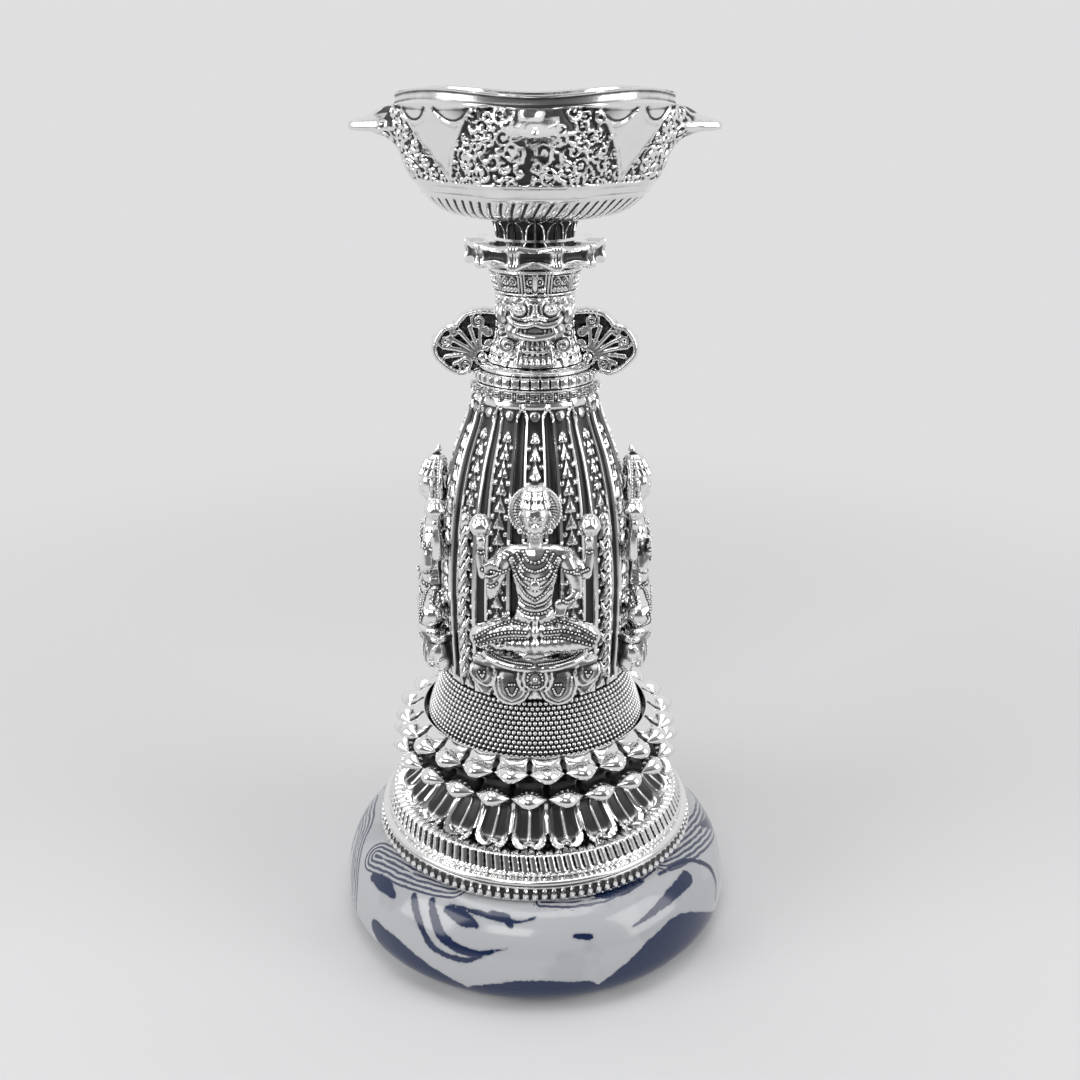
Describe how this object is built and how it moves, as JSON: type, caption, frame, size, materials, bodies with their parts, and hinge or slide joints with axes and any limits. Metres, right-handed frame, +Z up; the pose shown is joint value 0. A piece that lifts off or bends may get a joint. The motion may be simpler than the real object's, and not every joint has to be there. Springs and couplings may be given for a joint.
{
  "type": "diya stand",
  "caption": "Silver diya stand: lotus base and ribbed body with seated figures, a masked neck with scroll wings, a loose drip collar and a four-beaked oil bowl, on a round marbled plinth.",
  "frame": {"origin": "on the table plane under the centre of the plinth", "axes": "+Z up along the stand's axis, front figure faces -Y, +X to the right seen from the front"},
  "size_m": [0.11, 0.11, 0.225],
  "materials": {
    "silver": "polished silver with dark oxidised recesses",
    "oxidised": "chased silver, darkened in its recesses",
    "steel": "turned",
    "marbled": "glossy, marbled grey-white and navy",
    "felt": "felt"
  },
  "bodies": {
    "plinth": {"plinth_body": "marbled", "plinth_pad_1": "felt", "plinth_pad_2": "felt", "plinth_pad_3": "felt", "plinth_pad_4": "felt"},
    "stand": {"rope_ring": "silver", "step_ring": "silver", "gadroon_ring": "silver", "base_plate": "steel", "rod_washer": "steel", "rod_nut": "steel", "tie_rod": "steel", "lower_petals": "silver", "middle_petals": "silver", "upper_petals": "silver", "bead_dome": "oxidised", "body_shell": "silver", "figure_front": "silver", "figure_right": "silver", "figure_back": "silver", "figure_left": "silver", "lotus_seat_front": "silver", "lotus_seat_right": "silver", "lotus_seat_back": "silver", "lotus_seat_left": "silver", "stalk_1": "silver", "stalk_2": "silver", "stalk_3": "silver", "stalk_4": "silver", "fret_ring": "silver", "stud_ring": "silver", "cap_ring": "silver", "neck_core": "oxidised", "mask_front": "silver", "mask_back": "silver", "wing_right": "silver", "wing_left": "silver", "crown_band": "silver", "socket_bush": "steel"},
    "drip": {"drip_collar": "silver"},
    "lamp_bowl": {"bowl_foot": "oxidised", "bowl_peg": "steel", "bowl": "silver"}
  },
  "joints": [
    {"name": "stand_lift", "type": "slide", "parent": "plinth", "child": "stand", "axis": [0, 0, 1], "range_m": [0, 0.12]},
    {"name": "collar_turn", "type": "hinge", "parent": "stand", "child": "drip", "pos_m": [0, 0, 0.187], "axis": [0, 0, 1], "continuous": true},
    {"name": "bowl_lift", "type": "slide", "parent": "drip", "child": "lamp_bowl", "axis": [0, 0, 1], "range_m": [0, 0.06]}
  ]
}
